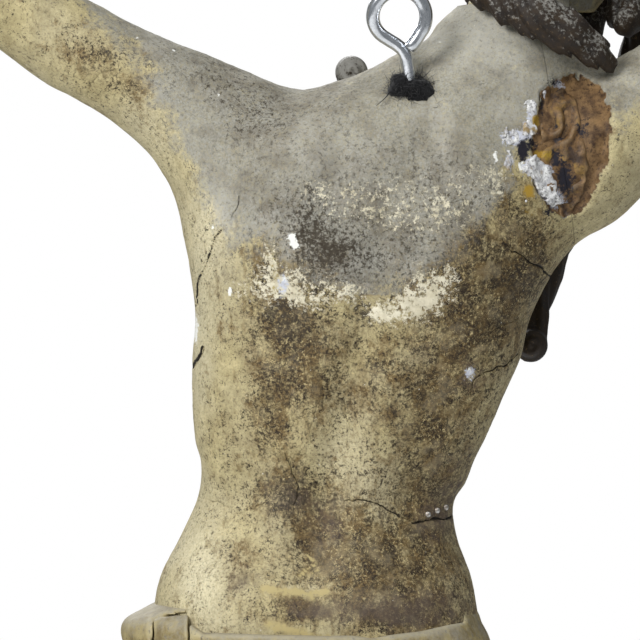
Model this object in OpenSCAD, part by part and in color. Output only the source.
// Carved and painted wooden hanging figure with raised arms.
// Millimetres. +Z is up, the figure faces -Y, its left side is +X.
// The origin is the centre of the ring of the screw eye in its back.

/* [Screw eye] */
// Diameter of the wire of the screw eye
wire_d = 4.8; // [4.4:0.1:5.2]
// Outer diameter of the ring
ring_od = 24; // [22:0.5:26]
// Forward lean of the shank
shank_lean = 18; // [14:1:22]
// Sideways lean of the shank
shank_side = 10; // [6:1:14]
// Length of the thread
thread_l = 28; // [20:1:32]
// Radial clearance of the screw in its hole
screw_gap = 0.05; // [0.02:0.01:0.1]

/* [Nail holes] */
// Diameter of the nail holes in the hands and feet
nail_d = 5; // [3:0.5:6]

/* [Dowels] */
// Diameter of the shoulder and waist dowels
dowel_d = 8; // [6:0.5:9]
// Diameter of the leg dowels
leg_dowel_d = 10; // [8:0.5:12]
// Diameter of the wrist and ankle dowels
small_dowel_d = 6; // [4:0.5:7]
// Radial clearance of a dowel in its hole
dowel_gap = 0.05; // [0.02:0.01:0.1]

/* [Trunk] */
// Depth position of the glued joint between the chest block and the back block
seam_y = -38; // [-40:1:-36]
// Height of the waist joint
waist_z = -176; // [-178:1:-174]
// Thickness of the glue layer in the right shoulder
glue_t = 4; // [3:0.5:5]

/* [Loincloth] */
// Depth of the folds of the loincloth
fold_d = 1.6; // [0:0.2:2.4]
// Number of folds around the loincloth
folds = 9; // [5:1:12]

/* [Hidden] */

wood = "burlywood";
paint = "tan";
hair_brown = "dimgray";
cloth_ochre = "darkkhaki";
big = 400;
hip_z = -262;
ankle_z = -556;
cloth_gap = 0.4;
// Squareness of the trunk's outline and sides of a round hole or rod
trunk_square = 2.3;
round_sides = 32;

// Trunk outline: [z, left x, right x, back y, front y], from the neck down to the legs
trunk_rows = [
    [6, -26, -60, -22, -56], [0, -21, -62, -18, -60], [-6, -13, -65, -14, -64],
    [-12, 0, -68, -11, -67], [-18, 14, -70, -9, -70], [-24, 31, -72, -7, -72],
    [-32, 49, -73, -4, -75], [-45, 62, -74, 0, -78], [-60, 68, -72, 3, -80],
    [-75, 74, -67, 4, -81], [-88, 76, -60, 4, -80], [-98, 75, -54, 3, -79],
    [-109, 74, -48, 1, -77], [-122, 75, -45, -2, -74], [-138, 75, -38, -5, -71],
    [-152, 74, -32, -8, -70], [-160, 72, -28, -10, -70], [-168, 72, -25, -12, -71],
    [-176, 74, -20.5, -13, -73], [-189, 80, -22, -12, -76], [-203, 87, -27, -8, -78],
    [-220, 90, -30, -5, -80], [-240, 92, -33, -5, -80], [-262, 89, -28, -8, -78]];

// Shoulder joint planes: a point on each, and the direction away from the trunk in the XZ plane
left_joint = [55.6, -60.5];
left_joint_dir = 20;
right_joint = [-55.5, -54];
right_joint_dir = 170;
right_arm_start = right_joint + glue_t * [cos(right_joint_dir), sin(right_joint_dir)];

// Limb outlines: [x, y, z, half width, half depth, direction of the width in the XZ plane]
left_arm_rows = [
    [left_joint[0], -38, left_joint[1], 41, 31, left_joint_dir + 90],
    [67, -37, -47, 31, 28, 115], [78.5, -36, -34, 23, 24, 120],
    [95, -33, -23, 19, 20, 122], [108, -31, -15, 17.5, 18, 122], [119, -30, -8, 17, 17, 121],
    [138, -28, 4, 15.5, 16, 121], [153, -26, 14, 14.5, 15.5, 124], [168, -25, 26, 15.5, 15, 128],
    [190, -22, 44, 13.5, 13, 131], [212, -19, 62, 10.5, 10, 132], [228, -17, 77, 9.5, 8, 133]];
right_arm_rows = [
    [right_arm_start[0], -38, right_arm_start[1], 33, 30, right_joint_dir - 90],
    [-76, -37, -42, 27, 26, 66], [-92, -35, -30, 21, 21, 60],
    [-106, -33, -20, 18, 18.5, 58], [-120, -31, -11, 17, 17, 58], [-140, -28, 2, 15.5, 16, 57],
    [-155, -26, 12, 14.5, 15.5, 54], [-170, -25, 24, 15.5, 15, 51], [-192, -22, 42, 13.5, 13, 49],
    [-214, -19, 60, 10.5, 10, 48], [-230, -17, 75, 9.5, 8, 47]];
hand_rows = [
    [0, 0, 0, 9.5, 8, 90], [7, 0, 0, 11, 7.5, 90], [17, 0, 0, 16, 7, 90], [31, -1, 0, 18, 6.5, 90],
    [41, -3, 0, 17.5, 6, 90], [51, -7, 0, 16, 6, 90], [61, -13, 0, 13.5, 5.5, 90],
    [67, -18, 0, 8, 4, 90]];
thumb_rows = [
    [14, -2, 8, 6, 5.5, 120], [24, -5, 18, 6, 5.5, 125], [34, -10, 25, 5, 5, 125],
    [41, -14, 29, 3, 3.2, 125]];
left_leg_rows = [
    [59, -43, -262, 28, 32, 0], [61, -45, -290, 28.5, 31, 0], [61, -50, -325, 27, 28, 0],
    [59, -57, -365, 23.5, 24, 0], [55, -63, -395, 20.5, 21, 0], [52, -65, -415, 19.5, 21, 0],
    [51, -60, -435, 18, 20, 0], [52, -52, -460, 18.5, 20, 0], [51, -47, -485, 17.5, 18.5, 0],
    [50, -43, -515, 13.5, 14, 0], [50, -41, -540, 10.5, 12, 0], [50, -40, -556, 10.5, 12.5, 0]];
right_leg_rows = [
    [1.5, -43, -262, 28, 32, 0], [0, -46, -290, 28.5, 31, 0], [0, -52, -325, 27, 28, 0],
    [2, -60, -365, 23.5, 24, 0], [6, -67, -395, 20.5, 21, 0], [9, -69, -415, 19.5, 21, 0],
    [10, -63, -435, 18, 20, 0], [9, -54, -460, 18.5, 20, 0], [10, -48, -485, 17.5, 18.5, 0],
    [11, -44, -515, 13.5, 14, 0], [12, -42, -540, 10.5, 12, 0], [12, -41, -556, 10.5, 12.5, 0]];
foot_rows = [
    [0, 0, 0, 10.5, 12.5, 0], [0, -1, -8, 12.5, 16.5, 0], [0, -4, -18, 14.5, 20, 0],
    [1, -10, -30, 16.5, 19, 0], [2, -20, -43, 18, 14.5, 0], [2, -29, -54, 18, 9.5, 0],
    [1, -37, -63, 15.5, 5.5, 0], [0, -41, -68, 9, 2.5, 0]];
neck_rows = [
    [-43, -39, 6, 17, 17, 0], [-46, -43, 14, 17, 18, 0], [-50, -50, 24, 17, 19, 0],
    [-55, -58, 36, 15, 18, 0]];
nape_rows = [
    [-54, -46, 46, 20, 12, -25], [-47, -31, 34, 19, 10, -28], [-44, -18, 23, 17.5, 8.5, -30],
    [-46, -10.5, 12, 16, 7, -33], [-52, -7, 3, 13, 6.5, -36], [-58, -7.5, -5, 8, 5, -38],
    [-62, -8.5, -11, 3, 2.5, -40]];
left_lock_rows = [
    [-20, -75, 28, 4, 5, 0], [-20, -82, 10, 6, 6, -5], [-21, -85, -2, 6, 6, 15],
    [-18, -86.5, -14, 6.5, 6, 35], [-10, -87, -25, 6.5, 6, 60], [1, -84, -30, 6.5, 6, 90],
    [10, -78, -28, 6, 5.5, 115], [15, -71.5, -22.5, 5.5, 5, 140], [17.5, -65, -16.5, 5, 5, 150],
    [18, -62, -14, 3, 3, 150]];
right_lock_rows = [
    [-97, -78, 22, 5, 5, 0], [-95, -83, 2, 8, 7, 0], [-90, -87, -22, 9, 7.5, 0],
    [-79, -88, -46, 8, 7, 0], [-65.5, -84, -68, 7.5, 7, 0], [-55.5, -78, -90, 7, 6.5, 0],
    [-51, -70, -108, 6, 6, 0], [-49.5, -64, -118, 6, 5.5, 0], [-48.5, -62, -123, 3, 3, 0]];
// Head, before it is bowed: [x, y, z, half width, half depth, direction]
head_rows = [
    [0, -25, -47, 5, 4, 0], [0, -25, -43, 13, 10, 0], [0, -21, -36, 20, 16, 0],
    [0, -13, -27, 27, 25, 0], [0, -6, -16, 31, 33, 0], [0, -2, -4, 34, 38, 0],
    [0, 0, 8, 36, 41, 0], [0, 1, 19, 36, 42, 0], [0, 1, 29, 33, 39, 0], [0, 0, 37, 26, 31, 0],
    [0, 0, 42, 16, 20, 0], [0, 0, 44, 6, 8, 0]];
drape_rows = [
    [101, -69, -229, 5, 6, 0], [105, -73, -237, 10, 11, 0], [106, -74, -248, 9, 10, 0],
    [106, -73, -262, 12, 9, 0], [107, -72, -285, 15, 8, 0], [108, -71, -312, 17, 8, 0],
    [109, -70, -338, 18, 7, 0], [110, -70, -346, 17, 5, 0]];
gesso_rows = [
    [-60, -8, -22, 3, 2, 20], [-55, -4.5, -30, 4, 3, 15], [-52, -1, -40, 5, 3, 5],
    [-52, 1.5, -52, 4.5, 3, 0], [-54, 1.5, -64, 5, 3, -10], [-58, -1, -74, 4, 3, -20],
    [-61, -5, -81, 2.5, 2, -20]];
head_at = [-64, -74, 41];
head_turn = [24, -18, 8];

dowel_ys = [seam_y - 11, seam_y + 11];
left_dowel_at = [50.7, -47];
right_dowel_at = [-54.5, -48];
shoulder_dowel_l = 48;
waist_dowel_l = 43;
leg_dowel_l = 43;
ankle_dowel_l = 28;
neck_dowel_l = 40;
// Added length of a dowel's hole
hole_extra = 1;
neck_dowel_at = [-41, seam_y - 8.5, 6];
neck_dowel_turn = [16, -16, 0];
left_wrist = [228, -17, 77];
right_wrist = [-230, -17, 75];
wrist_dir = 43;
wrist_dowel_l = 28;
leg_dowel_at = [[59, -43], [1.5, -43]];
ankle_at = [[50, -40], [12, -41]];
waist_dowel_at = [[28, seam_y - 17], [28, seam_y + 11]];
palm_hole = [22, 0];
foot_hole = [1, -27];
hand_reach = 60;
foot_reach = 120;

// Half height and half depth of the glue layer
glue_size = [34, 31];

// Screw eye
ring_r = (ring_od - wire_d) / 2;
shank_end = 26;
screw_end = shank_end + thread_l;
pitch = 2;
wad_r = 7.5;
wad_top = 19.5;
wad_bottom = 29;
wad_gap = 0.1;
wad_bed = 12;
thread_depth = 0.6;
pin_d = 1.6;
pin_l = 10;
pin_reach = 20;
// Waist pins: [x, z of the axis, y of the head]
pins = [[-15, -179, -32], [-12, -180.5, -29.5], [-9, -182.5, -27.5]];

// Corner points of the let-in patch of the loincloth: x, z, width, height
patch_at = [75.5, -216];
patch_size = [11.5, 30];
patch_depth = 40;
patch_gap = 0.15;

// Loincloth rings: [z, centre x, centre y, inner half width, inner half depth, wall]
cloth_rows = [
    [-213, 30.2, -42, 59.2, 37.4, 2.5], [-216, 30.1, -42.3, 60.1, 38.6, 7.5],
    [-222, 29.9, -42.5, 61, 39.2, 9.5], [-229, 29.7, -42.5, 62, 39.6, 8.5],
    [-237, 29.6, -42.5, 63.4, 39.8, 5], [-252, 29.8, -42.6, 63, 39.4, 5.5],
    [-272, 30.2, -44, 62, 38.6, 5.5], [-292, 30.3, -46, 61.5, 37.5, 5],
    [-305, 30.3, -48, 60.5, 36, 4]];

function signed_pow(v, p) = sign(v) * pow(abs(v), p);

function mix_rows(t, rows) = let(
    last = len(rows) - 1, i = min(last - 1, floor(t)), f = t - i,
    p = rows[max(0, i - 1)], q = rows[i], r = rows[i + 1], s = rows[min(last, i + 2)])
    0.5 * (2 * q + (r - p) * f + (2 * p - 5 * q + 4 * r - s) * f * f
        + (3 * q - p - 3 * r + s) * f * f * f);

function smooth_rows(rows, steps) =
    [for (i = [0:(len(rows) - 1) * steps]) mix_rows(i / steps, rows)];

function ring_points(r, sides, square) = [for (i = [0:sides - 1])
    let(t = 360 * i / sides, c = signed_pow(cos(t), 2 / square), s = signed_pow(sin(t), 2 / square))
    [r[0] + r[3] * c * cos(r[5]), r[1] + r[4] * s, r[2] + r[3] * c * sin(r[5])]];

function turned(faces, flip) = flip ? [for (f = faces) [for (i = [len(f) - 1:-1:0]) f[i]]] : faces;

// Closed solid through a row of rings
module loft(rows, sides = 20, steps = 1, square = 2) {
    all_rows = smooth_rows(rows, steps);
    count = len(all_rows);
    way = [all_rows[1][0] - all_rows[0][0], 0, all_rows[1][2] - all_rows[0][2]];
    width_dir = [cos(all_rows[0][5]), 0, sin(all_rows[0][5])];
    flip = cross(width_dir, [0, 1, 0]) * way > 0;
    walls = [for (j = [0:count - 2], i = [0:sides - 1])
        let(p = j * sides + i, q = j * sides + (i + 1) % sides)
        each [[p, q, q + sides], [p, q + sides, p + sides]]];
    caps = [[for (i = [sides - 1:-1:0]) i], [for (i = [0:sides - 1]) (count - 1) * sides + i]];
    polyhedron([for (r = all_rows) each ring_points(r, sides, square)],
        turned(concat(walls, caps), flip), convexity = 6);
}

function trunk_ring(r) = [(r[1] + r[2]) / 2, (r[3] + r[4]) / 2, r[0],
    (r[1] - r[2]) / 2, (r[3] - r[4]) / 2, 0];

// Rows of the outline at the waist and at the legs
waist_row = 18;
last_row = len(trunk_rows) - 1;

// Whole trunk between two rows of its outline
module trunk(first, last) {
    loft([for (i = [first:last]) trunk_ring(trunk_rows[i])], 32, 1, trunk_square);
}

// Everything on the far side of an upright or slanted plane through a point in XZ
module beyond(at, dir) {
    translate([at[0], 0, at[1]]) rotate([0, -dir, 0]) translate([0, -big / 2, -big / 2]) cube(big);
}

// Round rod or hole centred on a point, along a direction in XZ
module rod(at, y, dir, d, l) {
    translate([at[0], y, at[1]]) rotate([0, 90 - dir, 0])
        cylinder(d = d, h = l, center = true, $fn = round_sides);
}

// Hole for a rod of the same centre, direction, diameter and length
module rod_hole(at, y, dir, d, l) rod(at, y, dir, d + 2 * dowel_gap, l + hole_extra);

module shoulder_holes(ys) {
    for (y = ys) {
        rod_hole(left_dowel_at, y, left_joint_dir, dowel_d, shoulder_dowel_l);
        rod_hole(right_dowel_at, y, right_joint_dir, dowel_d, shoulder_dowel_l);
    }
}

module upright(at, z, d, l) {
    translate([at[0], at[1], z]) cylinder(d = d, h = l, center = true, $fn = round_sides);
}

module upright_hole(at, z, d, l) upright(at, z, d + 2 * dowel_gap, l + hole_extra);

// Placement of the screw eye: the ring stays at the origin and the shank leans
module screw_place() {
    rotate([-shank_lean, shank_side, 0]) children();
}

module neck_place() {
    translate(neck_dowel_at) rotate(neck_dowel_turn) children();
}

module chest_block() color(paint)
    difference() {
        trunk(0, waist_row);
        beyond(left_joint, left_joint_dir);
        beyond(right_joint, right_joint_dir);
        translate([-big / 2, seam_y, -big / 2]) cube(big);
        shoulder_holes([dowel_ys[0]]);
        upright_hole(waist_dowel_at[0], waist_z, dowel_d, waist_dowel_l);
        neck_place() upright_hole([0, 0], 0, small_dowel_d, neck_dowel_l);
    }

module back_block() color(paint)
    difference() {
        trunk(0, waist_row);
        beyond(left_joint, left_joint_dir);
        beyond(right_joint, right_joint_dir);
        translate([-big / 2, seam_y - big, -big / 2]) cube(big);
        shoulder_holes([dowel_ys[1]]);
        upright_hole(waist_dowel_at[1], waist_z, dowel_d, waist_dowel_l);
        screw_place() {
            translate([0, 0, -wad_bottom - 2 * wad_gap]) cylinder(r = wad_r + wad_gap, h = wad_bed, $fn = 48);
            translate([0, 0, -screw_end - 1]) cylinder(d = wire_d + 2 * screw_gap, h = thread_l + 3, $fn = 48);
        }
    }

module hip_block() color(paint)
    difference() {
        trunk(waist_row, last_row);
        for (p = waist_dowel_at) upright_hole(p, waist_z, dowel_d, waist_dowel_l);
        for (p = leg_dowel_at) upright_hole(p, hip_z, leg_dowel_d, leg_dowel_l);
        for (p = pins) translate([p[0], p[2] + pin_reach, p[1]]) rotate([90, 0, 0])
            cylinder(d = pin_d + 2 * dowel_gap, h = pin_reach + pin_l + hole_extra / 2, $fn = 24);
    }

module head() color(hair_brown)
    difference() {
        union() {
            translate(head_at) rotate(head_turn) loft(head_rows, 24, 1, 2);
            loft(neck_rows, 20, 1);
            loft(nape_rows, 16, 1);
        }
        neck_place() upright_hole([0, 0], 0, small_dowel_d, neck_dowel_l);
    }

module neck_dowel() color(wood) neck_place() upright([0, 0], 0, small_dowel_d, neck_dowel_l);

module left_hair_lock() color(hair_brown) loft(left_lock_rows, 12, 2);

module right_hair_lock() color(hair_brown) loft(right_lock_rows, 12, 2);

module wrist_hole(at, dir) rod_hole([at[0], at[2]], at[1], dir, small_dowel_d, wrist_dowel_l);

module left_arm() color(paint)
    difference() {
        loft(left_arm_rows, 24, 1);
        for (y = dowel_ys) rod_hole(left_dowel_at, y, left_joint_dir, dowel_d, shoulder_dowel_l);
        wrist_hole(left_wrist, wrist_dir);
    }

module right_arm() color(paint)
    difference() {
        loft(right_arm_rows, 24, 1);
        for (y = dowel_ys) rod_hole(right_dowel_at, y, right_joint_dir, dowel_d, shoulder_dowel_l);
        wrist_hole(right_wrist, 180 - wrist_dir);
    }

// Left hand, from the wrist along +X, palm to -Y, thumb up
module hand() {
    difference() {
        union() {
            loft(hand_rows, 18, 1, 2.4);
            loft(thumb_rows, 10, 1);
        }
        rod_hole([0, 0], 0, 0, small_dowel_d, wrist_dowel_l);
        translate([palm_hole[0], 0, palm_hole[1]]) rotate([90, 0, 0])
            cylinder(d = nail_d, h = hand_reach, center = true, $fn = round_sides);
    }
}

module left_hand() color(paint) translate(left_wrist) rotate([0, -wrist_dir, 0]) hand();

module right_hand() color(paint)
    translate(right_wrist) mirror([1, 0, 0]) rotate([0, -wrist_dir, 0]) hand();

module left_shoulder_dowels() color(wood)
    for (y = dowel_ys) rod(left_dowel_at, y, left_joint_dir, dowel_d, shoulder_dowel_l);

module right_shoulder_dowels() color(wood)
    for (y = dowel_ys) rod(right_dowel_at, y, right_joint_dir, dowel_d, shoulder_dowel_l);

module left_wrist_dowel() color(wood)
    rod([left_wrist[0], left_wrist[2]], left_wrist[1], wrist_dir, small_dowel_d, wrist_dowel_l);

module right_wrist_dowel() color(wood)
    rod([right_wrist[0], right_wrist[2]], right_wrist[1], 180 - wrist_dir, small_dowel_d, wrist_dowel_l);

module waist_dowels() color(wood)
    for (p = waist_dowel_at) upright(p, waist_z, dowel_d, waist_dowel_l);

module leg(rows, hip_at, foot_at) {
    difference() {
        loft(rows, 22, 1);
        upright_hole(hip_at, hip_z, leg_dowel_d, leg_dowel_l);
        upright_hole(foot_at, ankle_z, small_dowel_d, ankle_dowel_l);
    }
}

module left_leg() color(paint) leg(left_leg_rows, leg_dowel_at[0], ankle_at[0]);

module right_leg() color(paint) leg(right_leg_rows, leg_dowel_at[1], ankle_at[1]);

module leg_dowels() color(wood)
    for (p = leg_dowel_at) upright(p, hip_z, leg_dowel_d, leg_dowel_l);

module foot() {
    difference() {
        loft(foot_rows, 20, 1);
        upright_hole([0, 0], 0, small_dowel_d, ankle_dowel_l);
        translate([foot_hole[0], 0, foot_hole[1]]) rotate([90, 0, 0])
            cylinder(d = nail_d, h = foot_reach, center = true, $fn = round_sides);
    }
}

module left_foot() color(paint) translate([ankle_at[0][0], ankle_at[0][1], ankle_z]) foot();

module right_foot() color(paint)
    translate([ankle_at[1][0], ankle_at[1][1], ankle_z]) mirror([1, 0, 0]) foot();

module ankle_dowels() color(wood)
    for (p = ankle_at) upright(p, ankle_z, small_dowel_d, ankle_dowel_l);

// Ring of the cloth wall; the outer one carries the folds
function cloth_ring(r, outer, sides) = [for (i = [0:sides - 1])
    let(t = 360 * i / sides, wall = outer ? r[5] + fold_d * sin(folds * t + r[0] * 3) : 0,
        c = signed_pow(cos(t), 2 / trunk_square), s = signed_pow(sin(t), 2 / trunk_square))
    [r[1] + (r[3] + cloth_gap + wall) * c, r[2] + (r[4] + cloth_gap + wall) * s, r[0]]];

module cloth_wall() {
    sides = 48;
    count = len(cloth_rows);
    total = count * sides;
    points = concat([for (r = cloth_rows) each cloth_ring(r, true, sides)],
        [for (r = cloth_rows) each cloth_ring(r, false, sides)]);
    outside = [for (j = [0:count - 2], i = [0:sides - 1])
        let(p = j * sides + i, q = j * sides + (i + 1) % sides)
        each [[p, q, q + sides], [p, q + sides, p + sides]]];
    inside = [for (f = outside) [f[0] + total, f[2] + total, f[1] + total]];
    top = [for (i = [0:sides - 1]) let(k = (i + 1) % sides)
        each [[i, i + total, k + total], [i, k + total, k]]];
    low = (count - 1) * sides;
    bottom = [for (f = top) [f[0] + low, f[2] + low, f[1] + low]];
    polyhedron(points, concat(outside, inside, top, bottom), convexity = 8);
}

module patch_box(gap) {
    translate([patch_at[0] - gap, -patch_depth / 2, patch_at[1] - patch_size[1] - gap])
        cube([patch_size[0] + 2 * gap, patch_depth, patch_size[1] + 2 * gap]);
}

module loincloth() color(cloth_ochre)
    difference() {
        cloth_wall();
        patch_box(patch_gap);
    }

module loincloth_patch() color(cloth_ochre)
    intersection() {
        cloth_wall();
        patch_box(0);
    }

module loincloth_drape() color(cloth_ochre) loft(drape_rows, 16, 1);

// Profile of the ring-shaped ridges of the thread
function thread_side() = [for (i = [0:floor(thread_l / pitch) - 2])
    each [[wire_d / 2, -shank_end - i * pitch], [wire_d / 2 - thread_depth, -shank_end - (i + 0.5) * pitch]]];

module eye_screw() color("silver") screw_place() {
    rotate([90, 0, 0]) rotate_extrude($fn = 64) translate([ring_r, 0]) circle(d = wire_d, $fn = 32);
    difference() {
        translate([0, 0, -shank_end]) cylinder(d = wire_d, h = shank_end - ring_r, $fn = 32);
        rotate([90, 0, 0]) rotate_extrude($fn = 64) translate([ring_r, 0]) circle(d = wire_d, $fn = 32);
    }
    rotate_extrude($fn = 32) polygon(concat([[0, -shank_end]], thread_side(),
        [[wire_d / 2 - thread_depth, -screw_end + pitch], [0, -screw_end]]));
}

module wool_packing() color("black") screw_place()
    rotate_extrude($fn = 48) difference() {
        hull() {
            translate([0, -wad_bottom]) square([wad_r, 4]);
            translate([0, -wad_top - 4.5]) scale([1, 0.6]) intersection() {
                circle(r = wad_r, $fn = 32);
                square(wad_r);
            }
        }
        translate([-1, -wad_bottom - 1]) square([1 + wire_d / 2 + screw_gap, 20]);
    }

// Glue layer between the trunk and the right arm, swollen at the edge
module shoulder_glue() color("saddlebrown")
    difference() {
        translate([right_joint[0], 0, right_joint[1]]) rotate([0, -right_joint_dir, 0])
            translate([0, seam_y, 0]) rotate([0, 90, 0])
            linear_extrude(glue_t) scale([glue_size[0], glue_size[1]]) circle(r = 1, $fn = 32);
        for (y = dowel_ys) rod_hole(right_dowel_at, y, right_joint_dir, dowel_d, shoulder_dowel_l);
    }

module shoulder_gesso() color("ivory") loft(gesso_rows, 10, 1);

module waist_pins() color("silver")
    for (p = pins) translate([p[0], p[2], p[1]]) rotate([90, 0, 0])
        cylinder(d = pin_d, h = pin_l, $fn = 24);

chest_block();
back_block();
hip_block();
head();
neck_dowel();
left_hair_lock();
right_hair_lock();
left_arm();
right_arm();
left_hand();
right_hand();
left_shoulder_dowels();
right_shoulder_dowels();
left_wrist_dowel();
right_wrist_dowel();
waist_dowels();
left_leg();
right_leg();
leg_dowels();
left_foot();
right_foot();
ankle_dowels();
loincloth();
loincloth_drape();
loincloth_patch();
eye_screw();
wool_packing();
shoulder_glue();
shoulder_gesso();
waist_pins();
